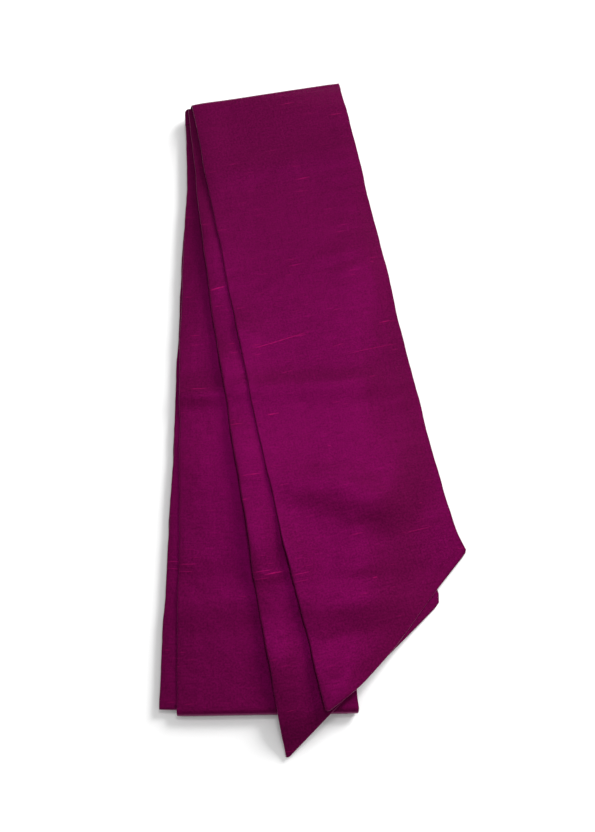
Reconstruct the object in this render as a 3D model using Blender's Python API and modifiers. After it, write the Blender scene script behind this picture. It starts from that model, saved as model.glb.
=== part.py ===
"""A satin sash, folded in half and then in thirds, lying flat on a surface.

The sash is one long pressed tube of slubbed silk with both ends sewn on the slant.
Folded so, it makes six stretches that lie on each other, from the top: front, back,
outer, inner, inner_under and outer_under. The first four show and are walls with real
folds. The last two are hidden and share one rounded solid.

Frame: +Z up, +Y from the slanted ends to the top folds, origin on the surface under
the middle of the folded sash. The tables hold millimetres.
"""

import math
from collections import namedtuple

import bmesh
import bpy

MM = 0.001
COLLECTION = "satin_sash"

# The cloth
WIDTH = 102.0        # pressed width of the tube
CLOTH = 1.4          # wall: both plies of the pressed tube with their loft
AIR = 0.4            # space between stretches that lie on each other
SEAM_GAP = 0.3       # space between two pieces of the strip, end to end
DRAPE = 30.0         # past an edge below it, a stretch sinks to the surface over this
EDGE_ROUND = 0.35    # rounding along the wall's edges

# The grid of each wall
FINE_COLUMNS = 16    # across a stretch that sinks past others' edges
PLAIN_COLUMNS = 10   # across a stretch that lies nearly flat
ROW_STEP = 11.0      # along a stretch
LONG_EDGE = 3.0      # border edges over this are rounded, those round a fold are not
BEND_STEPS = 6       # round a fold
CLOSING_STEPS = 20

# Lines in the plan: a point on the line and its slope
Line = namedtuple("Line", "x y slope")


def sloped(x, y, degrees):
    return Line(x, y, math.tan(math.radians(degrees)))


# Outermost line of each fold, and the two slanted ends
TOP_OUTER = sloped(-83.6, 201.9, 11.3)
TOP_INNER = sloped(-87.4, 199.8, 5.5)
MIDDLE_FOLD = sloped(0.0, 196.0, 0.0)
BOTTOM_OUTER = sloped(-79.4, -199.4, 0.9)
BOTTOM_INNER = sloped(-89.4, -195.8, -0.3)
FRONT_END = sloped(89.0, -104.8, 50.4)
BACK_END = sloped(69.0, -138.0, 44.5)

# How far a fold's bend runs past the flat stretches, at mid-wall
OUTER_REACH = 2.55
INNER_REACH = 0.85

# Where the strip's pieces meet end to end, inwards from the fold
OUTER_RETURN = 14.0
INNER_RETURN = 12.0
UNDER_END = -183.0   # lower end of the hidden solid

# The stretches from the surface up
Stretch = namedtuple("Stretch", "name top bottom")
STACK = (
    Stretch("outer_under", MIDDLE_FOLD, BOTTOM_OUTER),
    Stretch("inner_under", MIDDLE_FOLD, BOTTOM_INNER),
    Stretch("inner", TOP_OUTER, BOTTOM_INNER),
    Stretch("outer", TOP_INNER, BOTTOM_OUTER),
    Stretch("back", TOP_INNER, BACK_END),
    Stretch("front", TOP_OUTER, FRONT_END),
)

# Middle line of each stretch: its x at each COURSE_STEP of y, from COURSE_TOP down
COURSE_TOP = 212.0
COURSE_STEP = 70.0
Course = namedtuple("Course", "front back outer inner inner_under outer_under")
COURSES = (
    Course(-32.6, -35.2, -36.6, -32.4, -32.3, -32.7),
    Course(-18.6, -26.5, -33.4, -33.3, -33.3, -31.9),
    Course(-4.3, -17.0, -34.1, -35.0, -34.4, -31.2),
    Course(9.9, -5.4, -33.5, -35.6, -35.5, -30.4),
    Course(25.4, 6.6, -30.9, -36.1, -36.5, -29.7),
    Course(42.6, 18.4, -29.6, -37.7, -37.6, -28.9),
    Course(60.2, 31.9, -28.2, -38.5, -38.7, -28.2),
)

# Soft ridges: where a stretch lifts off what it lies on. side is -1 at the left edge,
# 1 at the right, 0 across the whole width; reach is how far it runs in from that edge.
Ridge = namedtuple("Ridge", "y height half_length side reach slope")
RIDGES = {
    "front": (
        Ridge(185, 0.9, 16, 0, 0, 0.1),
        Ridge(140, 0.7, 14, 0, 0, 0.15),
        Ridge(76, 1.6, 26, 1, 26, 0.0),
        Ridge(34, 2.0, 11, -1, 16, 0.0),
        Ridge(-20, 1.8, 20, 0, 0, 0.35),
        Ridge(-103, 1.4, 16, 0, 0, 0.3),
        Ridge(-130, 2.2, 34, -1, 20, 0.0),
        Ridge(-158, 1.0, 12, 0, 0, 0.3),
        Ridge(-196, 4.2, 30, -1, 22, 0.0),
    ),
    "back": (
        Ridge(98, 1.4, 36, -1, 16, 0.0),
        Ridge(13, 2.4, 11, -1, 16, 0.0),
        Ridge(-44, 1.2, 18, -1, 16, 0.0),
        Ridge(-99, 3.8, 30, -1, 18, 0.0),
        Ridge(-170, 3.2, 22, -1, 18, 0.0),
    ),
    "outer": (
        Ridge(-3, 0.9, 8, 0, 0, 0.05),
        Ridge(-136, 0.7, 10, 0, 0, 0.05),
    ),
}

# The front tip is turned back a little, and both right corners stand out
TIP_RISE = 7.0
TIP_REACH = 24.0
Flare = namedtuple("Flare", "y out length")
FLARES = {"front": Flare(-104.8, 2.2, 18.0), "back": Flare(-131.0, 3.0, 18.0)}
FLARE_FADE = 6       # power of the distance across: only the outer columns stand out

# Roundings of a slanted end's two corners: the column they are on, and their size
END_FILLETS = ((FINE_COLUMNS, 2.0), (0, 2.5))
FILLET_STEPS = 3

# The hidden solid
GROOVE_DEPTH = 3.0
EDGE_ROUND_UNDER = 0.4
UNDER_ROWS = 24
UNDER_COLUMNS = 8
NOSE_ANGLES = (0, 30, 60, 80)

SMOOTH_ANGLE = math.radians(50)
SILK_ROUGHNESS = 0.42
SILK_COLOURS = {
    "front_tail": (0.150, 0.004, 0.062, 1.0),
    "back_tail": (0.142, 0.004, 0.058, 1.0),
    "outer_loop": (0.130, 0.004, 0.052, 1.0),
    "inner_loop": (0.112, 0.004, 0.046, 1.0),
    "hidden_layers": (0.095, 0.004, 0.040, 1.0),
}


# Plan geometry

def line_y(line, x):
    return line.y + line.slope * (x - line.x)


def middle(name, y):
    """x of a stretch's middle line, smooth through the rows of its course."""
    course = [getattr(row, name) for row in COURSES]
    place = (COURSE_TOP - y) / COURSE_STEP
    row = min(max(int(math.floor(place)), 0), len(course) - 2)
    t = place - row
    start, end = course[row], course[row + 1]
    before = course[row - 1] if row > 0 else 2 * start - end
    after = course[row + 2] if row + 2 < len(course) else 2 * end - start
    leave, arrive = (end - before) / 2, (after - start) / 2
    return (start + t * leave
            + t * t * (3 * (end - start) - 2 * leave - arrive)
            + t * t * t * (2 * (start - end) + leave + arrive))


def half_width(name, y):
    lean = (middle(name, y + 1) - middle(name, y - 1)) / 2
    return WIDTH / 2 * math.hypot(1, lean)


def column_x(name, across, y):
    """x of the column at across, -1 on the left edge and 1 on the right edge."""
    x = middle(name, y) + across * half_width(name, y)
    flare = FLARES.get(name)
    if flare and across > 0:
        near = max(0.0, 1 - abs(y - flare.y) / flare.length)
        x += flare.out * near ** 2 * across ** FLARE_FADE
    return x


def column_meets(name, across, line):
    """y at which a stretch's column meets a line of the plan, by closing in on it."""
    y = line.y
    for _ in range(CLOSING_STEPS):
        y = line_y(line, column_x(name, across, y))
    return y


def cut_y(name, across):
    """y of the slanted end on a column."""
    line = FRONT_END if name == "front" else BACK_END
    y = column_meets(name, across, line)
    if name == "front":
        inwards = (across + 1) / 2 * WIDTH
        y += TIP_RISE * max(0.0, 1 - inwards / TIP_REACH) ** 2
    return y


# Heights: each stretch lies on those below it

def cover(stretch, x, y):
    """How far a stretch carries the next: 1 on it, sinking to 0 over DRAPE."""
    aside = max(0.0, abs(x - middle(stretch.name, y)) - half_width(stretch.name, y))
    above = (y - line_y(stretch.top, x)) / math.hypot(1, stretch.top.slope)
    below = (line_y(stretch.bottom, x) - y) / math.hypot(1, stretch.bottom.slope)
    away = math.hypot(aside, max(0.0, above, below)) / DRAPE
    return 0.5 * (1 + math.cos(math.pi * min(1.0, away)))


def lift(name, x, y):
    """Height of a stretch's own ridges."""
    total = 0.0
    for ridge in RIDGES.get(name, ()):
        aside = x - middle(name, y)
        along = (y - ridge.y - ridge.slope * aside) / ridge.half_length
        height = ridge.height * math.exp(-along ** 2)
        if ridge.side:
            inwards = half_width(name, y) - ridge.side * aside
            height *= math.exp(-(max(0.0, inwards) / ridge.reach) ** 2)
        total += height
    return total


def under_side(name, x, y):
    """Height of the lower face of a stretch."""
    support = shared = 0.0
    for stretch in STACK:
        bottom = support + AIR * shared + lift(stretch.name, x, y)
        if stretch.name == name:
            return bottom
        carried = cover(stretch, x, y)
        support += carried * (bottom + CLOTH - support)
        shared = 1 - (1 - shared) * (1 - carried)
    raise ValueError(name)


def wall_point(name, across, y):
    """Point at mid-wall on a column of a stretch."""
    x = column_x(name, across, y)
    return (x, y, under_side(name, x, y) + CLOTH / 2)


# Rows of points along the strip

def spread(columns):
    return [2 * i / columns - 1 for i in range(columns + 1)]


def shifted(line, inwards):
    """A line parallel to another, inwards of it towards the middle of the sash."""
    step = inwards * math.hypot(1, line.slope)
    return line._replace(y=line.y - math.copysign(step, line.y))


def flat_rows(name, columns, first, last):
    """Rows from the line first to the line last, with both; None is the slanted end."""
    ends = []
    for across in spread(columns):
        pair = [cut_y(name, across) if line is None else column_meets(name, across, line)
                for line in (first, last)]
        ends.append((across, *pair))
    longest = max(abs(end - start) for _, start, end in ends)
    count = max(1, round(longest / ROW_STEP))
    return [
        [wall_point(name, across, start + (end - start) * step / count)
         for across, start, end in ends]
        for step in range(count + 1)
    ]


def bend_rows(leave, arrive, fold, reach):
    """Rows round a fold, between the last row before it and the first after it."""
    outwards = math.copysign(1, fold.y) / math.hypot(1, fold.slope)
    rows = []
    for step in range(1, BEND_STEPS):
        angle = math.pi * step / BEND_STEPS
        blend = (1 - math.cos(angle)) / 2
        push = reach * math.sin(angle) * outwards
        rows.append([
            (a[0] + (b[0] - a[0]) * blend - fold.slope * push,
             a[1] + (b[1] - a[1]) * blend + push,
             (a[2] + b[2]) / 2 + (a[2] - b[2]) / 2 * math.cos(angle))
            for a, b in zip(leave, arrive)
        ])
    return rows


def folded_rows(upper, lower, columns, start, fold, reach, end):
    """Rows of a wall: along the upper stretch, round a fold, and a short way back."""
    bend = shifted(fold, reach + CLOTH / 2)
    over = flat_rows(upper, columns, start, bend)
    under = flat_rows(lower, columns, bend, end)
    return over + bend_rows(over[-1], under[0], fold, reach) + under


# Objects

def silk(name):
    material = bpy.data.materials.new(name + "_silk")
    material.use_nodes = True
    shader = material.node_tree.nodes["Principled BSDF"]
    shader.inputs["Base Color"].default_value = SILK_COLOURS[name]
    shader.inputs["Roughness"].default_value = SILK_ROUGHNESS
    shader.inputs["Metallic"].default_value = 0.0
    material.diffuse_color = SILK_COLOURS[name]
    return material


def add_object(name, mesh):
    mesh.materials.append(silk(name))
    mesh.shade_smooth()
    mesh.set_sharp_from_angle(angle=SMOOTH_ANGLE)
    thing = bpy.data.objects.new(name, mesh)
    bpy.data.collections[COLLECTION].objects.link(thing)
    return thing


def grid_of(rows):
    """A Blender grid with its points moved onto the rows."""
    across, along = len(rows[0]) - 1, len(rows) - 1
    bm = bmesh.new()
    bmesh.ops.create_grid(bm, x_segments=across, y_segments=along, size=1.0)
    bm.verts.ensure_lookup_table()
    ordered = sorted(bm.verts, key=lambda v: (round(v.co.y, 5), round(v.co.x, 5)))
    for vert, point in zip(ordered, (point for row in rows for point in row)):
        vert.co = [value * MM for value in point]
    return bm, ordered


def mark_long_border(bm):
    """Gives a bevel weight to the border, short of the folds and the filleted corners."""
    weight = bm.edges.layers.float.new("bevel_weight_edge")
    border = [edge for edge in bm.edges if edge.is_boundary]
    short = [edge for edge in border if edge.calc_length() < LONG_EDGE * MM]
    near_short = {vert for edge in short for vert in edge.verts}
    for edge in border:
        if not near_short.intersection(edge.verts):
            edge[weight] = 1.0


def add_wall(name, rows, fillets=()):
    """A wall of cloth at its real thickness round the rows' surface.

    fillets gives points of the first row whose corner is rounded, and by how much.
    """
    bm, ordered = grid_of(rows)
    for corner, size in fillets:
        bmesh.ops.bevel(bm, geom=[ordered[corner]], offset=size * MM,
                        segments=FILLET_STEPS, profile=0.5, affect="VERTICES")
    mark_long_border(bm)
    mesh = bpy.data.meshes.new(name)
    bm.to_mesh(mesh)
    bm.free()
    thing = add_object(name, mesh)
    wall = thing.modifiers.new("cloth", "SOLIDIFY")
    wall.thickness = CLOTH * MM
    wall.offset = 0.0
    wall.use_even_offset = True
    rounding = thing.modifiers.new("rounded_edges", "BEVEL")
    rounding.limit_method = "WEIGHT"
    rounding.width = EDGE_ROUND * MM
    rounding.segments = 1


def add_front_tail():
    rows = folded_rows("front", "inner", FINE_COLUMNS, None, TOP_OUTER,
                       OUTER_REACH, shifted(TOP_OUTER, OUTER_RETURN))
    add_wall("front_tail", rows, END_FILLETS)


def add_back_tail():
    rows = folded_rows("back", "outer", FINE_COLUMNS, None, TOP_INNER,
                       INNER_REACH, shifted(TOP_INNER, INNER_RETURN))
    add_wall("back_tail", rows, END_FILLETS)


def add_outer_loop():
    rows = folded_rows("outer", "outer_under", PLAIN_COLUMNS,
                       shifted(TOP_INNER, INNER_RETURN + SEAM_GAP), BOTTOM_OUTER,
                       OUTER_REACH, sloped(0.0, UNDER_END - SEAM_GAP, 0.0))
    add_wall("outer_loop", rows)


def add_inner_loop():
    rows = folded_rows("inner", "inner_under", PLAIN_COLUMNS,
                       shifted(TOP_OUTER, OUTER_RETURN + SEAM_GAP), BOTTOM_INNER,
                       INNER_REACH, sloped(0.0, UNDER_END - SEAM_GAP, 0.0))
    add_wall("inner_loop", rows)


def under_ring(y):
    """Outline of the two hidden stretches at one y: (x, z) points, counter-clockwise."""
    lower_left, lower_right = (column_x("outer_under", side, y) for side in (-1, 1))
    upper_left, upper_right = (column_x("inner_under", side, y) for side in (-1, 1))
    groove_left = max(lower_left, upper_left) + GROOVE_DEPTH
    groove_right = min(lower_right, upper_right) - GROOVE_DEPTH
    cut = EDGE_ROUND_UNDER

    def upper(x, above):
        return (x, under_side("inner_under", x, y) + above)

    ring = [(lower_left + cut, 0.0), (lower_right - cut, 0.0), (lower_right, cut),
            (lower_right, CLOTH - cut), (lower_right - cut, CLOTH), (groove_right, CLOTH),
            upper(groove_right, 0.0), upper(upper_right - cut, 0.0),
            upper(upper_right, cut), upper(upper_right, CLOTH - cut)]
    for across in reversed(spread(UNDER_COLUMNS)):
        x = (upper_left + upper_right) / 2 + across * ((upper_right - upper_left) / 2 - cut)
        ring.append(upper(x, CLOTH))
    ring += [upper(upper_left, CLOTH - cut), upper(upper_left, cut),
             upper(upper_left + cut, 0.0), upper(groove_left, 0.0),
             (groove_left, CLOTH), (lower_left + cut, CLOTH),
             (lower_left, CLOTH - cut), (lower_left, cut)]
    return ring


def add_hidden_layers():
    """The two lowest stretches and the sash's middle fold as one rounded solid."""
    tall = 2 * CLOTH + AIR
    nose = MIDDLE_FOLD.y - tall / 2
    rows = []
    for step in range(UNDER_ROWS):
        y = UNDER_END + (nose - UNDER_END) * step / UNDER_ROWS
        rows.append([(x, y, z) for x, z in under_ring(y)])
    for degrees in NOSE_ANGLES:
        angle = math.radians(degrees)
        y = nose + tall / 2 * math.sin(angle)
        rows.append([(x, y, tall / 2 + (z - tall / 2) * math.cos(angle))
                     for x, z in under_ring(nose)])
    bm, _ = grid_of([row + row[:1] for row in rows])
    bmesh.ops.remove_doubles(bm, verts=bm.verts, dist=0.01 * MM)
    bmesh.ops.holes_fill(bm, edges=[edge for edge in bm.edges if edge.is_boundary], sides=0)
    bmesh.ops.recalc_face_normals(bm, faces=bm.faces)
    mesh = bpy.data.meshes.new("hidden_layers")
    bm.to_mesh(mesh)
    bm.free()
    add_object("hidden_layers", mesh)


def main():
    for thing in list(bpy.data.objects):
        bpy.data.objects.remove(thing, do_unlink=True)
    collection = bpy.data.collections.new(COLLECTION)
    bpy.context.scene.collection.children.link(collection)
    add_front_tail()
    add_back_tail()
    add_outer_loop()
    add_inner_loop()
    add_hidden_layers()


main()
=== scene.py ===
"""A satin sash, folded in half and then in thirds, lying flat on a pale floor.

The sash is one long flat tube of slubbed silk, 102 mm wide, sewn along one side and
across both slanted ends, turned and pressed. Folded so, it makes six stretches that lie
on each other, from the top: front, back, outer, inner, inner_under and outer_under.
Each piece here is a length of that tube, with its top and bottom ply, the pressed fold
on its left and the seam on its right.

Frame: +Z up, +Y from the slanted ends to the top folds, origin on the floor under the
middle of the folded sash. The tables hold millimetres.
"""

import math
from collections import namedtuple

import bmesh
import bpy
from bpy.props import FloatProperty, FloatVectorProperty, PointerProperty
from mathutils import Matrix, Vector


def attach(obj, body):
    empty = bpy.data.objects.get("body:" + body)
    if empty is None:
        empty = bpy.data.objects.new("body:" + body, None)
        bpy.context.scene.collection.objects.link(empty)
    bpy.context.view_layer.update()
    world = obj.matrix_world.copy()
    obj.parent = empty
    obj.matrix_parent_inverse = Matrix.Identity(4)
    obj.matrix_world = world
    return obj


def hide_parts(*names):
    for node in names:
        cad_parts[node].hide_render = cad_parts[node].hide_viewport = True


bl_info = {
    "name": "Satin Sash",
    "version": (1, 0, 0),
    "blender": (4, 5, 0),
    "location": "View3D > Sidebar > Sash",
    "description": "Builds a folded sash of slubbed silk and the studio round it",
    "category": "Add Mesh",
}

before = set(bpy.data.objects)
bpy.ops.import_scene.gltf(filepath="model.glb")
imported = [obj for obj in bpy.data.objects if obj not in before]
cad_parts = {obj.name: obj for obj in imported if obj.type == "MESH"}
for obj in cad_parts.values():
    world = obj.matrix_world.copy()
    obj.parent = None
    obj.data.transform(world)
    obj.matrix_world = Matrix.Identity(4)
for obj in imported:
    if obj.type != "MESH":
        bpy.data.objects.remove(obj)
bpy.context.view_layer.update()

MM = 0.001
BODY = "root"
CLOTH_MAP = "cloth_metres"
PRESSED_EDGE = "pressed_edge"

# The tube and how the stretches lie on each other
WIDTH = 102.0        # pressed width of the tube
WALL = 1.4           # room that a pressed stretch takes in the pile
AIR = 0.4            # space between stretches that lie on each other
DRAPE_END = 30.0     # past the end of what it lies on, a stretch sinks over this
DRAPE_SIDE = 58.0    # and past the side of what it lies on, over this
CLOSING_STEPS = 20

# Lines in the plan: a point on the line and its slope
Line = namedtuple("Line", "x y slope")


def sloped(x, y, degrees):
    return Line(x, y, math.tan(math.radians(degrees)))


# Outermost line of each fold, and the two slanted ends
TOP_OUTER = sloped(-83.6, 201.3, 12.1)
TOP_INNER = sloped(-87.4, 199.8, 5.5)
MIDDLE_FOLD = sloped(0.0, 196.0, 0.0)
BOTTOM_OUTER = sloped(-79.4, -199.4, 0.9)
BOTTOM_INNER = sloped(-89.4, -195.8, -0.3)
FRONT_END = sloped(89.0, -104.8, 50.4)
BACK_END = sloped(69.0, -138.0, 44.5)

# How far a fold's bend runs past the flat stretches, at mid-wall
OUTER_REACH = 2.55
INNER_REACH = 0.85

# Where the strip's pieces meet end to end, inwards from the fold
OUTER_RETURN = 14.0
INNER_RETURN = 12.0
UNDER_END = sloped(0.0, -183.0, 0.0)

# The stretches from the floor up
Stretch = namedtuple("Stretch", "name top bottom")
STACK = (
    Stretch("outer_under", MIDDLE_FOLD, BOTTOM_OUTER),
    Stretch("inner_under", MIDDLE_FOLD, BOTTOM_INNER),
    Stretch("inner", TOP_OUTER, BOTTOM_INNER),
    Stretch("outer", TOP_INNER, BOTTOM_OUTER),
    Stretch("back", TOP_INNER, BACK_END),
    Stretch("front", TOP_OUTER, FRONT_END),
)

# Middle line of each stretch: its x at each COURSE_STEP of y, from COURSE_TOP down
COURSE_TOP = 212.0
COURSE_STEP = 70.0
Course = namedtuple("Course", "front back outer inner inner_under outer_under")
COURSES = (
    Course(-32.6, -35.2, -36.6, -32.4, -32.3, -32.7),
    Course(-18.6, -26.5, -33.4, -33.3, -33.3, -31.9),
    Course(-4.3, -17.0, -34.1, -35.0, -34.4, -31.2),
    Course(9.9, -5.4, -33.5, -35.6, -35.5, -30.4),
    Course(25.4, 6.6, -30.9, -36.1, -36.5, -29.7),
    Course(42.6, 18.4, -29.6, -37.7, -37.6, -28.9),
    Course(60.2, 31.9, -28.2, -38.5, -38.7, -28.2),
)

# Soft ridges: where a stretch lifts off what it lies on. side is -1 at the left edge,
# 1 at the right, 0 across the whole width; reach is how far it runs in from that edge.
Ridge = namedtuple("Ridge", "y height half_length side reach slope")
RIDGES = {
    "front": (
        Ridge(190, 1.6, 45, -1, 18, 0.0),
        Ridge(76, 1.6, 26, 1, 26, 0.0),
        Ridge(34, 1.5, 13, -1, 14, 0.0),
        Ridge(-104, 1.5, 16, -1, 16, 0.0),
        Ridge(-130, 2.4, 34, -1, 20, 0.0),
        Ridge(-196, 3.4, 30, -1, 22, 0.0),
    ),
    "back": (
        Ridge(-10, 1.9, 200, -1, 26, 0.0),
        Ridge(98, 1.9, 36, -1, 16, 0.0),
        Ridge(13, 1.6, 13, -1, 14, 0.0),
        Ridge(-44, 1.8, 18, -1, 16, 0.0),
        Ridge(-99, 4.0, 30, -1, 18, 0.0),
        Ridge(-170, 3.4, 22, -1, 18, 0.0),
    ),
    "outer": (
        Ridge(0, -0.4, 600, -1, 14, 0.0),
        Ridge(-3, 1.0, 8, 0, 0, 0.05),
        Ridge(-136, 0.5, 10, 0, 0, 0.05),
    ),
}

# Small creases and swells in the cloth: centre, height, half-sizes along and across the
# ridge, and how far its line is turned from +X in degrees
Crease = namedtuple("Crease", "x y height length width turn")
CREASES = {
    "front": (
        Crease(-34, 207.5, 0.6, 60, 5, 11.3),
        Crease(-15, 158, 0.7, 70, 12, 12),
        Crease(8, -4, 0.6, 45, 12, 12),
        Crease(20, 92, 0.25, 24, 5, 20),
        Crease(30, 84, 0.25, 16, 4, 35),
        Crease(3, -66, 2.2, 26, 14, -4),
        Crease(36, -76, 2.2, 15, 13, -8),
        Crease(50, -60, 2.4, 22, 13, 80),
        Crease(34, -112, 1.3, 30, 12, 10),
        Crease(30, -138, 1.4, 28, 11, 8),
        Crease(17, -170, 1.1, 22, 10, 20),
        Crease(16.5, -181, 0.35, 8, 2.4, 65),
        Crease(58, -40, 0.3, 12, 2.6, 12),
        Crease(60, -24, 0.25, 9, 2.2, 14),
        Crease(54, -11, 0.3, 12, 2.6, 12),
        Crease(70, -84, 0.3, 13, 2.6, 12),
        Crease(44, 30, 0.2, 10, 2.4, 12),
    ),
    "back": (
        Crease(-60, 66, 0.3, 10, 2.6, 14),
        Crease(-50, -30, 0.3, 9, 3.0, 8),
        Crease(-38, -60, 0.3, 10, 3.0, 12),
        Crease(-25, -120, 0.35, 12, 3.5, 14),
        Crease(20, -187, 1.6, 18, 8, 44),
    ),
    "outer": (
        Crease(-72, -8, 0.5, 16, 4.2, 0),
        Crease(-72, -50, 0.3, 16, 8, 5),
        Crease(-70, -110, 0.3, 22, 8, -5),
    ),
}

# Fine ripples that the stitches draw along the seam: height, distance between them, how
# far they run in, their slant, and how their place and height vary along the strip
PUCKER_HEIGHT = 0.03
PUCKER_STEP = 11.0
PUCKER_REACH = 8.0
PUCKER_SLOPE = 0.2
PUCKER_SWAY = 1.7
PUCKER_SWAY_LENGTH = 23.0
PUCKER_MEAN = 0.6
PUCKER_SWING = 0.4
PUCKER_SWING_LENGTH = 37.0

# How far both edges waver from a straight line: wavelength and size. The power of the
# distance across keeps it at the edges, and the phases keep the stretches unlike.
WAVERS = ((83.0, 0.24), (41.0, 0.15), (23.0, 0.09), (9.0, 0.035))
WAVER_FADE = 10
PHASES = {"front": 0.3, "back": 1.7, "outer": 2.9, "inner": 4.4, "inner_under": 5.2,
          "outer_under": 3.6}
RIGHT_PHASE = 1.3

# A slanted end has its corners drawn in. The front one is also bowed out at its middle,
# and its tip is turned back.
CORNER_IN = 1.5
CORNER_REACH = 2.2
BULGE = 2.2
BULGE_FROM_LEFT = 48.0
BULGE_HALF = 22.0
TIP_RISE = 6.0
TIP_REACH = 26.0
TIP_CURVE = 1.5

# Where the right edge stands out. The power of the distance across keeps it there.
Flare = namedtuple("Flare", "y out length")
FLARES = {
    "front": Flare(-104.8, 3.4, 20.0),
    "back": Flare(-129.0, 3.8, 34.0),
    "outer": Flare(-199.0, 1.5, 30.0),
}
FLARE_FADE = 6

# Section of the tube: distance in from the edge, and half of the thickness there.
# At the seam the two plies first turn in to the stitches.
FOLD_SECTION = (
    (0.0, 0.0), (0.07, 0.17), (0.22, 0.28), (0.5, 0.34), (1.1, 0.38), (2.4, 0.43),
    (4.6, 0.5), (7.5, 0.56), (11.0, 0.6),
)
SEAM_SECTION = (
    (0.45, 0.0), (0.12, 0.08), (0.0, 0.2), (0.1, 0.32), (0.4, 0.4), (1.1, 0.43),
    (2.6, 0.45), (5.0, 0.5), (8.0, 0.58), (9.3, 0.62), (10.4, 0.6), (12.0, 0.6),
)
BODY_HALF = 0.6      # half of the thickness away from the edges
EDGE_HALF = 0.42     # the pressed edge shows wear and a painted highlight where half the thickness is less
SETTLED = 0.85       # 1 where the thin edges lie on what is below, 0 in mid-wall
BODY_COLUMNS = 36    # across the tube between the two edge sections
BEND_STEPS = 16      # round a fold
NORMAL_SPAN = 2      # columns to each side that give a point its normal
MERGED = 0.004       # points closer than this are one


class TubeSettings(bpy.types.PropertyGroup):
    """Sizes of the sewn tube."""

    ply: FloatProperty(
        name="Ply", description="Thickness of one ply of the silk",
        default=0.00028, min=0.0001, max=0.0005, subtype="DISTANCE", unit="LENGTH")
    row_step: FloatProperty(
        name="Row step", description="Distance between rows of points along the strip",
        default=0.0021, min=0.001, max=0.01, subtype="DISTANCE", unit="LENGTH")
    crease_scale: FloatProperty(
        name="Creases", description="Height of the small creases, as a factor",
        default=1.0, min=0.0, max=2.0)


class SilkSettings(bpy.types.PropertyGroup):
    """Colours and finish of the silk."""

    colour: FloatVectorProperty(
        name="Colour", description="Colour of the ground weave",
        subtype="COLOR", size=4, min=0.0, max=1.0, default=(0.085, 0.0019, 0.0315, 1.0))
    slub_colour: FloatVectorProperty(
        name="Slub colour", description="Colour of the thick yarns",
        subtype="COLOR", size=4, min=0.0, max=1.0, default=(0.29, 0.005, 0.075, 1.0))
    # Lighter colour of the pressed edges: worn yarns and a painted highlight along the
    # rim
    worn_and_highlight_colour: FloatVectorProperty(
        name="Worn and highlight colour", description="Colour of the worn yarns and painted highlight on the pressed edges",
        subtype="COLOR", size=4, min=0.0, max=1.0, default=(0.21, 0.012, 0.095, 1.0))
    sheen_colour: FloatVectorProperty(
        name="Sheen colour", description="Tint of the silk's gloss",
        subtype="COLOR", size=4, min=0.0, max=1.0, default=(1.0, 0.005, 0.50, 1.0))
    gloss: FloatProperty(
        name="Gloss", description="Strength of the silk's reflection",
        default=0.85, min=0.0, max=1.0)
    roughness: FloatProperty(
        name="Roughness", description="Roughness of the satin face",
        default=0.34, min=0.0, max=1.0)
    warp_pitch: FloatProperty(
        name="Warp pitch", description="Distance between the threads along the strip",
        default=0.00030, min=0.0001, max=0.002, subtype="DISTANCE", unit="LENGTH")
    weft_pitch: FloatProperty(
        name="Weft pitch", description="Distance between the threads across the strip",
        default=0.00046, min=0.0001, max=0.002, subtype="DISTANCE", unit="LENGTH")


class StudioSettings(bpy.types.PropertyGroup):
    """Floor and lights."""

    floor_colour: FloatVectorProperty(
        name="Floor", description="Colour of the floor",
        subtype="COLOR", size=4, min=0.0, max=1.0, default=(0.9, 0.9, 0.9, 1.0))
    key_power: FloatProperty(
        name="Key light", description="Power of the large light behind on the right",
        default=98.0, min=0.0, unit="POWER")
    top_power: FloatProperty(
        name="Top light", description="Power of the small light above",
        default=2.9, min=0.0, unit="POWER")
    surround: FloatProperty(
        name="Surround", description="Brightness of the white all round",
        default=0.6, min=0.0)


# Plan geometry

def line_y(line, x):
    return line.y + line.slope * (x - line.x)


def middle(name, y):
    """x of a stretch's middle line, smooth through the rows of its course."""
    course = [getattr(row, name) for row in COURSES]
    place = (COURSE_TOP - y) / COURSE_STEP
    row = min(max(int(math.floor(place)), 0), len(course) - 2)
    t = place - row
    start, end = course[row], course[row + 1]
    before = course[row - 1] if row > 0 else 2 * start - end
    after = course[row + 2] if row + 2 < len(course) else 2 * end - start
    leave, arrive = (end - before) / 2, (after - start) / 2
    return (start + t * leave
            + t * t * (3 * (end - start) - 2 * leave - arrive)
            + t * t * t * (2 * (start - end) + leave + arrive))


def lean(name, y):
    """How far the middle line moves in x for each step in y."""
    return (middle(name, y + 1) - middle(name, y - 1)) / 2


def half_width(name, y):
    return WIDTH / 2 * math.hypot(1, lean(name, y))


def column_x(name, across, y):
    """x of the column at across, -1 on the left edge and 1 on the right edge."""
    x = middle(name, y) + across * half_width(name, y)
    phase = PHASES[name] + (RIGHT_PHASE if across > 0 else 0.0)
    x += abs(across) ** WAVER_FADE * sum(
        size * math.sin(2 * math.pi * y / wavelength + phase * order)
        for order, (wavelength, size) in enumerate(WAVERS, 1))
    flare = FLARES.get(name)
    if flare and across > 0:
        near = max(0.0, 1 - abs(y - flare.y) / flare.length)
        x += flare.out * near ** 2 * across ** FLARE_FADE
    return x


def column_meets(name, across, line):
    """y at which a stretch's column meets a line of the plan, by closing in on it."""
    y = line.y
    for _ in range(CLOSING_STEPS):
        y = line_y(line, column_x(name, across, y))
    return y


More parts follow.
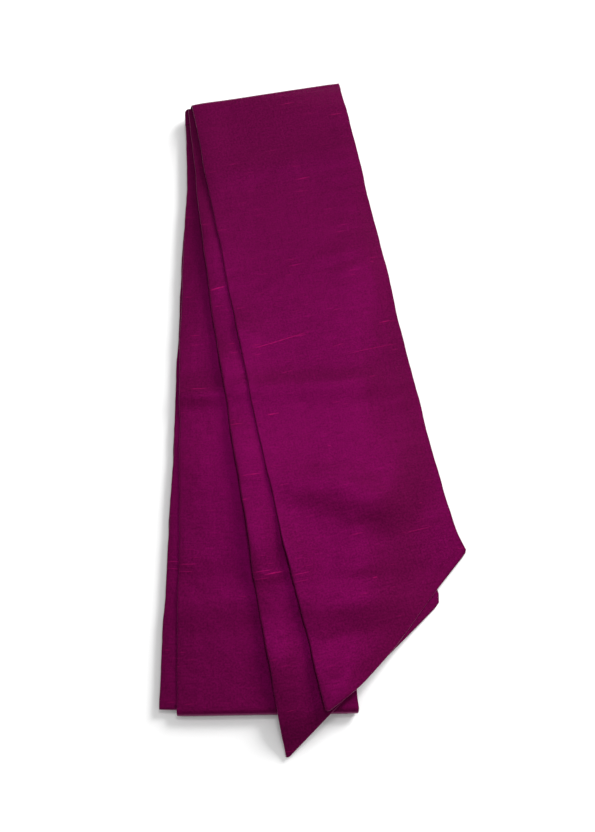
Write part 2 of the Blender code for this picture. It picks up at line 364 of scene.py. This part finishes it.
def cut_y(name, across):
    """y of the slanted end on a column, with its corners drawn in."""
    line = FRONT_END if name == "front" else BACK_END
    y = column_meets(name, across, line)
    from_left = (across + 1) / 2 * WIDTH
    from_right = WIDTH - from_left
    for inwards in (from_left, from_right):
        y += CORNER_IN * max(0.0, 1 - inwards / CORNER_REACH) ** 2
    if name == "front":
        y += TIP_RISE * max(0.0, 1 - from_left / TIP_REACH) ** TIP_CURVE
        y -= BULGE * math.exp(-((from_left - BULGE_FROM_LEFT) / BULGE_HALF) ** 2)
    return y


# Heights: each stretch lies on those below it

def cover(stretch, x, y):
    """How far a stretch carries the next: 1 on it, sinking to 0 beside it."""
    aside = max(0.0, abs(x - middle(stretch.name, y)) - half_width(stretch.name, y))
    above = (y - line_y(stretch.top, x)) / math.hypot(1, stretch.top.slope)
    below = (line_y(stretch.bottom, x) - y) / math.hypot(1, stretch.bottom.slope)
    away = math.hypot(aside / DRAPE_SIDE, max(0.0, above, below) / DRAPE_END)
    return 0.5 * (1 + math.cos(math.pi * min(1.0, away)))


def crease_height(crease, x, y):
    turn = math.radians(crease.turn)
    along = (x - crease.x) * math.cos(turn) + (y - crease.y) * math.sin(turn)
    across = (y - crease.y) * math.cos(turn) - (x - crease.x) * math.sin(turn)
    return crease.height * math.exp(
        -(along / crease.length) ** 2 - (across / crease.width) ** 2)


def pucker(name, x, y):
    """Height of the ripples that the stitches draw along the seam, on the right."""
    aside = x - middle(name, y)
    inwards = max(0.0, half_width(name, y) - aside)
    place = (y - PUCKER_SLOPE * aside) / PUCKER_STEP
    phase = PHASES[name]
    sway = PUCKER_SWAY * math.sin(y / PUCKER_SWAY_LENGTH + phase)
    wave = math.sin(2 * math.pi * place + sway)
    size = PUCKER_MEAN + PUCKER_SWING * math.sin(y / PUCKER_SWING_LENGTH + phase)
    return PUCKER_HEIGHT * size * wave * math.exp(-inwards / PUCKER_REACH)


def lift(name, x, y):
    """Height of a stretch's own ridges, creases and puckers."""
    total = pucker(name, x, y)
    for ridge in RIDGES.get(name, ()):
        aside = x - middle(name, y)
        along = (y - ridge.y - ridge.slope * aside) / ridge.half_length
        height = ridge.height * math.exp(-along ** 2)
        if ridge.side:
            inwards = half_width(name, y) - ridge.side * aside
            height *= math.exp(-(max(0.0, inwards) / ridge.reach) ** 2)
        total += height
    scale = bpy.context.scene.sash_tube.crease_scale
    return total + scale * sum(crease_height(crease, x, y)
                               for crease in CREASES.get(name, ()))


def under_side(name, x, y):
    """Height of the lower face of a stretch."""
    support = shared = 0.0
    for stretch in STACK:
        bottom = support + AIR * shared + lift(stretch.name, x, y)
        if stretch.name == name:
            return bottom
        carried = cover(stretch, x, y)
        support += carried * (bottom + WALL - support)
        shared = 1 - (1 - shared) * (1 - carried)
    raise ValueError(name)


def wall_point(name, across, y):
    """Point between the plies on a column of a stretch."""
    x = column_x(name, across, y)
    return Vector((x, y, under_side(name, x, y) + WALL / 2))


# The surface between the plies, in rows of points along the strip

Place = namedtuple("Place", "across half")


def edge_places(section, side):
    """Columns from the stitches or the fold inwards; side is -1 left, 1 right."""
    return [Place(side * (1 - 2 * inset / WIDTH), half) for inset, half in section]


def places_across():
    """Columns of the top ply from the fold on the left to the seam on the right."""
    left = edge_places(FOLD_SECTION, -1)
    right = edge_places(SEAM_SECTION, 1)[::-1]
    start, end = left[-1].across, right[0].across
    body = [Place(start + (end - start) * step / BODY_COLUMNS, left[-1].half)
            for step in range(1, BODY_COLUMNS)]
    return left + body + right


def shifted(line, inwards):
    """A line parallel to another, inwards of it towards the middle of the sash."""
    step = inwards * math.hypot(1, line.slope)
    return line._replace(y=line.y - math.copysign(step, line.y))


def flat_rows(name, places, first, last):
    """Rows of points, each with half the thickness there, from one line to another.

    With None for the first line they start at the slanted end, with a seam's section.
    """
    ends = []
    for place in places:
        start, end = (cut_y(name, place.across) if line is None
                      else column_meets(name, place.across, line)
                      for line in (first, last))
        ends.append((place.across, start, end))
    section = SEAM_SECTION if first is None else ((0.0, BODY_HALF),)
    inset = section[-1][0]
    length = max(abs(end - start) for _, start, end in ends) - inset
    count = max(1, round(length / (bpy.context.scene.sash_tube.row_step / MM)))
    heading = math.copysign(1, ends[0][2] - ends[0][1])
    rows = []
    for depth, half in section:
        row = [wall_point(name, across, start + depth * heading)
               for across, start, _ in ends]
        rows.append((row, half))
    for step in range(1, count + 1):
        row = []
        for across, start, end in ends:
            inner = start + inset * heading
            row.append(wall_point(name, across, inner + (end - inner) * step / count))
        rows.append((row, BODY_HALF))
    return rows


def bend_rows(leave, arrive, fold, reach):
    """Rows round a fold, between the last row before it and the first after it."""
    outwards = math.copysign(1, fold.y) / math.hypot(1, fold.slope)
    rows = []
    for step in range(1, BEND_STEPS):
        angle = math.pi * step / BEND_STEPS
        blend = (1 - math.cos(angle)) / 2
        push = reach * math.sin(angle) * outwards
        row = []
        for a, b in zip(leave, arrive):
            height = (a.z + b.z) / 2 + (a.z - b.z) / 2 * math.cos(angle)
            row.append(Vector((a.x + (b.x - a.x) * blend - fold.slope * push,
                               a.y + (b.y - a.y) * blend + push, height)))
        rows.append((row, BODY_HALF))
    return rows


def folded_rows(upper, lower, places, start, fold, reach, end):
    """Rows along the upper stretch, and those round the fold and along the lower one."""
    bend = shifted(fold, reach + WALL / 2)
    over = flat_rows(upper, places, start, bend)
    under = flat_rows(lower, places, bend, end)
    return over, bend_rows(over[-1][0], under[0][0], fold, reach) + under


def cloth_place(name, across, point):
    """Where a point of a flat stretch is on the unrolled strip, in millimetres."""
    tilt = lean(name, point.y)
    return point.y * math.hypot(1, tilt) + across * WIDTH / 2 * tilt


def heading_of(rows, flat_count):
    """1 where the rows go up the plan from the first, -1 where they go down it."""
    return math.copysign(1, rows[flat_count - 1][0][0].y - rows[0][0][0].y)


def lengths_along(name, places, rows, flat_count):
    """Distance along the strip at each point, going on round the fold."""
    result = []
    heading = heading_of(rows, flat_count)
    for index, (row, _) in enumerate(rows):
        if index < flat_count:
            result.append([cloth_place(name, place.across, point)
                           for place, point in zip(places, row)])
        else:
            before, _ = rows[index - 1]
            result.append([length + heading * (point - last).length
                           for length, point, last in zip(result[-1], row, before)])
    return result


def normals_of(rows, flat_count):
    """Upward normals of the surface between the plies, turning with it at the fold."""
    points = [row for row, _ in rows]
    heading = heading_of(rows, flat_count)
    last_row, last_column = len(points) - 1, len(points[0]) - 1
    result = []
    for r, row in enumerate(points):
        normals = []
        for c in range(len(row)):
            left, right = max(0, c - NORMAL_SPAN), min(last_column, c + NORMAL_SPAN)
            across = row[right] - row[left]
            if across.x < 0:
                across = -across
            along = points[min(r + 1, last_row)][c] - points[max(r - 1, 0)][c]
            normal = across.cross(along).normalized() * heading
            if r < flat_count and normal.z < 0:
                normal = -normal
            normals.append(normal)
        result.append(normals)
    return result


# Pieces

def skin(name, upper, rows, places, flat_count):
    """The tube's outer face: the bottom ply, the pressed fold and the top ply."""
    normals = normals_of(rows, flat_count)
    lengths = lengths_along(upper, places, rows, flat_count)
    count = len(places)
    ring = [(c, -1) for c in range(count - 1, 0, -1)] + [(c, 1) for c in range(count)]
    bm = bmesh.new()
    cloth_map = bm.loops.layers.uv.new(CLOTH_MAP)
    edge_layer = bm.verts.layers.float.new(PRESSED_EDGE)
    grid, places_on_cloth = [], []
    for (row, row_half), row_normals, row_lengths in zip(rows, normals, lengths):
        verts, cloth = [], []
        for c, ply in ring:
            half = min(places[c].half, row_half)
            settle = SETTLED * (BODY_HALF - half)
            normal = row_normals[c]
            point = row[c] + normal * (ply * half)
            point.z -= settle * abs(normal.z)
            vert = bm.verts.new(point * MM)
            vert[edge_layer] = max(0.0, 1 - half / EDGE_HALF)
            verts.append(vert)
            u = places[c].across * WIDTH / 2
            if ply < 0:
                u = -WIDTH - u  # the bottom ply goes on past the pressed fold
            cloth.append((u * MM, row_lengths[c] * MM))
        grid.append(verts)
        places_on_cloth.append(cloth)
    for r in range(len(grid) - 1):
        for c in range(len(ring) - 1):
            corners = ((r, c), (r, c + 1), (r + 1, c + 1), (r + 1, c))
            face = bm.faces.new([grid[i][j] for i, j in corners])
            face.smooth = True
            for loop, (i, j) in zip(face.loops, corners):
                loop[cloth_map].uv = places_on_cloth[i][j]
    bmesh.ops.remove_doubles(bm, verts=bm.verts, dist=MERGED * MM)
    bmesh.ops.recalc_face_normals(bm, faces=bm.faces)
    mesh = bpy.data.meshes.new(name)
    bm.to_mesh(mesh)
    bm.free()
    return mesh


def sew_tube(node, upper, lower, start, fold, reach, end):
    """Makes one length of the tube, with its two plies at their real thickness."""
    name = node + "_silk"
    places = places_across()
    over, round_and_under = folded_rows(upper, lower, places, start, fold, reach, end)
    mesh = skin(name, upper, over + round_and_under, places, len(over))
    piece = bpy.data.objects.new(name, mesh)
    bpy.context.scene.collection.objects.link(piece)
    bpy.ops.object.select_all(action="DESELECT")
    bpy.context.view_layer.objects.active = piece
    piece.select_set(True)
    wall = piece.modifiers.new("ply", "SOLIDIFY")
    wall.thickness = bpy.context.scene.sash_tube.ply
    wall.offset = -1.0
    wall.use_even_offset = False
    bpy.ops.object.modifier_apply(modifier=wall.name)
    piece.select_set(False)
    mesh.materials.append(silk_material(name, upper))
    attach(piece, BODY)
    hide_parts(node)
    return piece


# Silk

# How uneven the weave is: grains to the metre across and along the strip, detail, the
# range of the noise that counts, and the shade that it takes off or adds
Unevenness = namedtuple("Unevenness", "across along detail low high darker lighter")
SHADES = {
    "weft": Unevenness(110, 1500, 3, 0.25, 0.75, -0.09, 0.09),
    "bands of weft": Unevenness(9, 330, 2, 0.3, 0.7, -0.03, 0.03),
    "warp": Unevenness(1800, 30, 2, 0.25, 0.75, -0.07, 0.07),
    "grain": Unevenness(850, 900, 2, 0.25, 0.75, -0.26, 0.26),
    "cloud": Unevenness(9, 14, 3, 0.3, 0.7, -0.09, 0.08),
}

WANDER = 0.6         # how far a yarn of the weft is led off its line
WORN_AND_HIGHLIGHT = 0.55          # share of the lighter edge colour on a pressed edge: yarn wear and a painted highlight
GLOSS_SPREAD = 0.06  # how much rougher and smoother the weft makes the face

# Relief of the cloth, counted in threads, and the height of one thread
WEFT_RELIEF = 1.2
SLUB_RELIEF = 2.0
SLACK_RELIEF = 26.0
THREAD_HEIGHT = 0.06
RELIEF_STRENGTH = 0.35

# Thick yarns that stand out: both ends in the plan, half the width, and how much of
# their own colour they show
Slub = namedtuple("Slub", "x0 y0 x1 y1 width strength")
SLUBS = {
    "front": (
        Slub(-41.6, 21.4, -1.0, 35.4, 0.31, 0.9),
        Slub(10.5, 24.3, 18.0, 26.6, 0.27, 0.6),
        Slub(17.7, 18.9, 52.4, 28.5, 0.27, 0.6),
        Slub(-21.2, 6.2, -13.8, 8.4, 0.27, 0.5),
        Slub(39.8, 41.3, 47.4, 43.9, 0.34, 0.8),
        Slub(-29.7, -21.5, -21.7, -19.8, 0.41, 1.0),
        Slub(-22.1, -66.3, -16.1, -64.6, 0.27, 0.5),
        Slub(9.6, -12.9, 14.7, -12.4, 0.34, 0.6),
        Slub(48.9, -94.3, 70.8, -88.7, 0.27, 0.5),
        Slub(32.6, -121.6, 35.6, -120.9, 0.41, 0.7),
        Slub(7.0, -41.1, 9.4, -40.6, 0.34, 0.6),
        Slub(61.4, -75.2, 63.8, -74.6, 0.34, 0.6),
        Slub(35.4, 83.5, 37.8, 84.0, 0.34, 0.6),
    ),
    "back": (
        Slub(-67.1, 62.6, -56.8, 65.7, 0.48, 1.0),
        Slub(-52.6, -27.8, -44.1, -26.4, 0.34, 0.7),
        Slub(-45.9, -60.5, -32.1, -57.8, 0.34, 0.8),
        Slub(-44.1, -75.2, -39.5, -74.0, 0.34, 0.6),
        Slub(-30.8, -120.3, -18.3, -117.3, 0.41, 0.9),
    ),
    "outer": (
        Slub(-78.5, -3.0, -65.9, -2.6, 0.34, 0.6),
    ),
}
SLUB_TAPER = 1.12    # a yarn runs on past its ends by this factor, and thins out
SLUB_CORE = 0.55     # share of a yarn's width and length that has its full colour
SMALL_SLUBS = 0.6    # strength of the small slubs all over the cloth

# Sockets of a Mix node that mixes colours
MIX_FACTOR, MIX_FIRST, MIX_SECOND, MIX_RESULT = 0, 6, 7, 2


def add_node(tree, kind, label):
    node = tree.nodes.new(kind)
    node.label = label
    return node


def noise(tree, cloth, label, across, along, detail):
    """Noise with so many grains to the metre across the strip, and so many along it."""
    grains = add_node(tree, "ShaderNodeMapping", label)
    grains.inputs["Scale"].default_value = (across, along, 1.0)
    tree.links.new(cloth, grains.inputs["Vector"])
    node = add_node(tree, "ShaderNodeTexNoise", label)
    node.inputs["Scale"].default_value = 1.0
    node.inputs["Detail"].default_value = detail
    tree.links.new(grains.outputs["Vector"], node.inputs["Vector"])
    return node.outputs["Fac"]


def ranged(tree, source, label, low, high, to_low=0.0, to_high=1.0, smooth=True):
    node = add_node(tree, "ShaderNodeMapRange", label)
    node.interpolation_type = "SMOOTHSTEP" if smooth else "LINEAR"
    node.inputs["From Min"].default_value = low
    node.inputs["From Max"].default_value = high
    node.inputs["To Min"].default_value = to_low
    node.inputs["To Max"].default_value = to_high
    tree.links.new(source, node.inputs["Value"])
    return node.outputs["Result"]


def combined(tree, operation, label, first, second=0.0):
    """Math on two sockets or numbers."""
    node = add_node(tree, "ShaderNodeMath", label)
    node.operation = operation
    for index, value in enumerate((first, second)):
        if isinstance(value, (int, float)):
            node.inputs[index].default_value = value
        else:
            tree.links.new(value, node.inputs[index])
    return node.outputs["Value"]


def mixed(tree, factor, label, first, second):
    """Mixes a colour that comes from a socket with one that is set."""
    node = add_node(tree, "ShaderNodeMix", label)
    node.data_type = "RGBA"
    tree.links.new(factor, node.inputs[MIX_FACTOR])
    tree.links.new(first, node.inputs[MIX_FIRST])
    node.inputs[MIX_SECOND].default_value = second
    return node.outputs[MIX_RESULT]


def wandering(tree, cloth):
    """Leads each yarn of the weft a little off its line, so that none is ruled."""
    wander = ranged(tree, noise(tree, cloth, "wander", 30, 60, 2), "wander in metres",
                    0.0, 1.0, -WANDER * MM, WANDER * MM, smooth=False)
    along = add_node(tree, "ShaderNodeCombineXYZ", "wander along")
    tree.links.new(wander, along.inputs["Y"])
    wandered = add_node(tree, "ShaderNodeVectorMath", "wandered cloth")
    wandered.operation = "ADD"
    tree.links.new(cloth, wandered.inputs[0])
    tree.links.new(along.outputs["Vector"], wandered.inputs[1])
    return wandered.outputs["Vector"]


def thread_crowns(tree, cloth):
    """Plain weave: threads along and across, over and under each other."""
    silk = bpy.context.scene.sash_silk
    parts = add_node(tree, "ShaderNodeSeparateXYZ", "across and along")
    tree.links.new(cloth, parts.inputs["Vector"])
    warp = combined(tree, "MULTIPLY", "warp phase", parts.outputs["X"],
                    math.pi / silk.warp_pitch)
    weft = combined(tree, "MULTIPLY", "weft phase", parts.outputs["Y"],
                    math.pi / silk.weft_pitch)
    over = combined(tree, "MULTIPLY", "over and under",
                    combined(tree, "SINE", "warp", warp),
                    combined(tree, "SINE", "weft", weft))
    return combined(tree, "ABSOLUTE", "thread crowns", over)


def on_cloth(name, x, y):
    """Millimetres across and along the unrolled strip of a point in the plan."""
    across = (x - middle(name, y)) / half_width(name, y)
    return across * WIDTH / 2, cloth_place(name, across, Vector((x, y, 0.0)))


def charted_slubs(tree, cloth, name):
    """How far each point is in one of the thick yarns of its stretch."""
    total = 0.0
    for number, slub in enumerate(SLUBS[name], 1):
        label = f"slub {number}"
        start = on_cloth(name, slub.x0, slub.y0)
        end = on_cloth(name, slub.x1, slub.y1)
        centre = [(a + b) / 2 * MM for a, b in zip(start, end)]
        turn = math.atan2(end[1] - start[1], end[0] - start[0])
        half = math.dist(start, end) / 2 * SLUB_TAPER
        yarn = add_node(tree, "ShaderNodeMapping", label)
        yarn.vector_type = "TEXTURE"
        yarn.inputs["Location"].default_value = (*centre, 0.0)
        yarn.inputs["Rotation"].default_value = (0.0, 0.0, turn)
        yarn.inputs["Scale"].default_value = (half * MM, slub.width * MM, 1.0)
        tree.links.new(cloth, yarn.inputs["Vector"])
        away = add_node(tree, "ShaderNodeVectorMath", label)
        away.operation = "LENGTH"
        tree.links.new(yarn.outputs["Vector"], away.inputs[0])
        inside = ranged(tree, away.outputs["Value"], label, 1.0, SLUB_CORE, 0.0,
                        slub.strength)
        total = combined(tree, "MAXIMUM", "slubs so far", total, inside)
    return total


def all_slubs(tree, cloth, name):
    """How far each point is in a thick yarn: small ones all over, and charted ones."""
    small = ranged(tree, noise(tree, cloth, "small slubs", 55, 900, 1),
                   "small slubs that show", 0.69, 0.83)
    small = combined(tree, "MULTIPLY", "small slubs, fainter", small, SMALL_SLUBS)
    if name not in SLUBS:
        return small
    knots = ranged(tree, noise(tree, cloth, "knots", 420, 600, 2), "knots along a yarn",
                   0.3, 0.62, 0.35, 1.0)
    charted = combined(tree, "MULTIPLY", "knotty slubs", charted_slubs(tree, cloth, name),
                       knots)
    return combined(tree, "MAXIMUM", "all slubs", small, charted)


def silk_material(name, stretch):
    """Slubbed silk: fine warp, uneven weft, thick yarns and a soft coloured sheen."""
    silk = bpy.context.scene.sash_silk
    material = bpy.data.materials.new(name + "_cloth")
    material.use_nodes = True
    tree = material.node_tree
    shader = tree.nodes["Principled BSDF"]
    strip = add_node(tree, "ShaderNodeUVMap", "unrolled strip")
    strip.uv_map = CLOTH_MAP
    cloth = wandering(tree, strip.outputs["UV"])

    uneven = {}
    shade = 1.0
    for label, row in SHADES.items():
        uneven[label] = noise(tree, cloth, label, row.across, row.along, row.detail)
        shade = combined(tree, "ADD", label, shade,
                         ranged(tree, uneven[label], label, row.low, row.high,
                                row.darker, row.lighter))
    ground = add_node(tree, "ShaderNodeVectorMath", "ground colour")
    ground.operation = "SCALE"
    ground.inputs[0].default_value = silk.colour[:3]
    tree.links.new(shade, ground.inputs["Scale"])

    slubs = all_slubs(tree, cloth, stretch)
    colour = mixed(tree, slubs, "ground and slubs", ground.outputs["Vector"],
                   silk.slub_colour)
    # The pressed edges are lightened: partly yarn wear, partly a painted highlight along
    # the rim
    edge = add_node(tree, "ShaderNodeAttribute", "pressed edge")
    edge.attribute_name = PRESSED_EDGE
    worn_and_highlit = ranged(tree, edge.outputs["Fac"], "wear and painted highlight on the edge", 0.0, 1.0, 0.0, WORN_AND_HIGHLIGHT)
    colour = mixed(tree, worn_and_highlit, "silk and worn edge", colour, silk.worn_and_highlight_colour)
    tree.links.new(colour, shader.inputs["Base Color"])

    height = thread_crowns(tree, cloth)
    slack = noise(tree, cloth, "slack", 70, 50, 3)
    for label, source, relief in (("weft height", uneven["weft"], WEFT_RELIEF),
                                  ("slub height", slubs, SLUB_RELIEF),
                                  ("slack height", slack, SLACK_RELIEF)):
        height = combined(tree, "ADD", label, height,
                          combined(tree, "MULTIPLY", label, source, relief))
    bump = add_node(tree, "ShaderNodeBump", "relief")
    bump.inputs["Strength"].default_value = RELIEF_STRENGTH
    bump.inputs["Distance"].default_value = THREAD_HEIGHT * MM
    tree.links.new(height, bump.inputs["Height"])
    tree.links.new(bump.outputs["Normal"], shader.inputs["Normal"])

    rough = ranged(tree, uneven["weft"], "weft gloss", 0.2, 0.8,
                   silk.roughness + GLOSS_SPREAD, silk.roughness - GLOSS_SPREAD)
    tree.links.new(rough, shader.inputs["Roughness"])
    shader.inputs["Specular IOR Level"].default_value = silk.gloss
    shader.inputs["Specular Tint"].default_value = silk.sheen_colour
    return material


# Studio, in metres except for the eye

EYE = (-11.0, -257.1, 675.2)
CAMERA_TILT = math.radians(19.5)
LENS = 50.0
KEY_PLACE = (1.53, 1.53, 0.97)
KEY_SIDE = 1.1
TOP_PLACE = (0.109, 0.378, 1.3)
TOP_SIDE = 0.25
FLOOR_SIDE = 6.0


def add_area_light(name, place, side, power):
    """A square light that points at the middle of the sash."""
    light = bpy.data.lights.new(name, "AREA")
    light.shape = "SQUARE"
    light.size = side
    light.energy = power
    lamp = bpy.data.objects.new(name, light)
    lamp.location = place
    lamp.rotation_euler = (-Vector(place)).to_track_quat("-Z", "Y").to_euler()
    bpy.context.scene.collection.objects.link(lamp)
    return lamp


def add_floor():
    material = bpy.data.materials.new("floor")
    material.use_nodes = True
    shader = material.node_tree.nodes["Principled BSDF"]
    shader.inputs["Base Color"].default_value = bpy.context.scene.sash_studio.floor_colour
    shader.inputs["Roughness"].default_value = 0.8
    shader.inputs["Specular IOR Level"].default_value = 0.1
    bpy.ops.object.select_all(action="DESELECT")
    bpy.ops.mesh.primitive_plane_add(size=FLOOR_SIDE, location=(0.0, 0.0, 0.0))
    floor = bpy.context.active_object
    floor.name = "floor"
    floor.data.materials.append(material)
    floor.select_set(False)


def add_surround():
    """White all round, left out of the gloss, where it would lay a grey haze."""
    world = bpy.data.worlds.new("studio")
    world.use_nodes = True
    background = world.node_tree.nodes["Background"]
    background.inputs["Color"].default_value = (1.0, 1.0, 1.0, 1.0)
    background.inputs["Strength"].default_value = bpy.context.scene.sash_studio.surround
    world.cycles_visibility.glossy = False
    bpy.context.scene.world = world


def add_camera():
    camera = bpy.data.cameras.new("camera")
    camera.lens = LENS
    camera.clip_start = 0.01
    holder = bpy.data.objects.new("camera", camera)
    holder.location = Vector(EYE) * MM
    holder.rotation_euler = (CAMERA_TILT, 0.0, 0.0)
    bpy.context.scene.collection.objects.link(holder)
    bpy.context.scene.camera = holder


# Operators

class SASH_OT_front_tail(bpy.types.Operator):
    """Make the top stretch with its slanted end and the outer top fold"""
    bl_idname = "sash.front_tail"
    bl_label = "Front Tail"

    def execute(self, context):
        sew_tube("front_tail", upper="front", lower="inner",
                 start=None, fold=TOP_OUTER, reach=OUTER_REACH,
                 end=shifted(TOP_OUTER, OUTER_RETURN))
        return {"FINISHED"}


class SASH_OT_back_tail(bpy.types.Operator):
    """Make the second stretch with its slanted end and the inner top fold"""
    bl_idname = "sash.back_tail"
    bl_label = "Back Tail"

    def execute(self, context):
        sew_tube("back_tail", upper="back", lower="outer",
                 start=None, fold=TOP_INNER, reach=INNER_REACH,
                 end=shifted(TOP_INNER, INNER_RETURN))
        return {"FINISHED"}


class SASH_OT_outer_loop(bpy.types.Operator):
    """Make the third stretch and the outer bottom fold"""
    bl_idname = "sash.outer_loop"
    bl_label = "Outer Loop"

    def execute(self, context):
        sew_tube("outer_loop", upper="outer", lower="outer_under",
                 start=shifted(TOP_INNER, INNER_RETURN), fold=BOTTOM_OUTER,
                 reach=OUTER_REACH, end=UNDER_END)
        return {"FINISHED"}


class SASH_OT_inner_loop(bpy.types.Operator):
    """Make the fourth stretch and the inner bottom fold"""
    bl_idname = "sash.inner_loop"
    bl_label = "Inner Loop"

    def execute(self, context):
        sew_tube("inner_loop", upper="inner", lower="inner_under",
                 start=shifted(TOP_OUTER, OUTER_RETURN), fold=BOTTOM_INNER,
                 reach=INNER_REACH, end=UNDER_END)
        return {"FINISHED"}


class SASH_OT_hidden_layers(bpy.types.Operator):
    """Make the two lowest stretches and the fold in the sash's middle"""
    bl_idname = "sash.hidden_layers"
    bl_label = "Hidden Layers"

    def execute(self, context):
        sew_tube("hidden_layers", upper="inner_under", lower="outer_under",
                 start=UNDER_END, fold=MIDDLE_FOLD, reach=INNER_REACH,
                 end=UNDER_END)
        return {"FINISHED"}


class SASH_OT_stage(bpy.types.Operator):
    """Make the floor, the lights and the camera"""
    bl_idname = "sash.stage"
    bl_label = "Stage"

    def execute(self, context):
        studio = context.scene.sash_studio
        add_floor()
        key = add_area_light("key", KEY_PLACE, KEY_SIDE, studio.key_power)
        key.visible_glossy = False
        add_area_light("top", TOP_PLACE, TOP_SIDE, studio.top_power)
        add_surround()
        context.scene.view_settings.view_transform = "Standard"
        add_camera()
        return {"FINISHED"}


class SASH_PT_sidebar(bpy.types.Panel):
    """Sizes, colours and pieces of the sash"""
    bl_idname = "SASH_PT_sidebar"
    bl_label = "Satin Sash"
    bl_space_type = "VIEW_3D"
    bl_region_type = "UI"
    bl_category = "Sash"

    def draw(self, context):
        layout = self.layout
        for group in (context.scene.sash_tube, context.scene.sash_silk,
                      context.scene.sash_studio):
            box = layout.box()
            for name in group.__annotations__:
                box.prop(group, name)
        for operator in OPERATORS:
            layout.operator(operator.bl_idname)


OPERATORS = (
    SASH_OT_stage,
    SASH_OT_front_tail,
    SASH_OT_back_tail,
    SASH_OT_outer_loop,
    SASH_OT_inner_loop,
    SASH_OT_hidden_layers,
)
SETTINGS = {
    "sash_tube": TubeSettings,
    "sash_silk": SilkSettings,
    "sash_studio": StudioSettings,
}
CLASSES = (*SETTINGS.values(), *OPERATORS, SASH_PT_sidebar)


def register():
    for cls in CLASSES:
        bpy.utils.register_class(cls)
    for name, group in SETTINGS.items():
        setattr(bpy.types.Scene, name, PointerProperty(type=group))


def unregister():
    for name in SETTINGS:
        delattr(bpy.types.Scene, name)
    for cls in reversed(CLASSES):
        bpy.utils.unregister_class(cls)


def main():
    register()
    bpy.ops.sash.stage()
    bpy.ops.sash.front_tail()
    bpy.ops.sash.back_tail()
    bpy.ops.sash.outer_loop()
    bpy.ops.sash.inner_loop()
    bpy.ops.sash.hidden_layers()


if __name__ == "__main__":
    main()
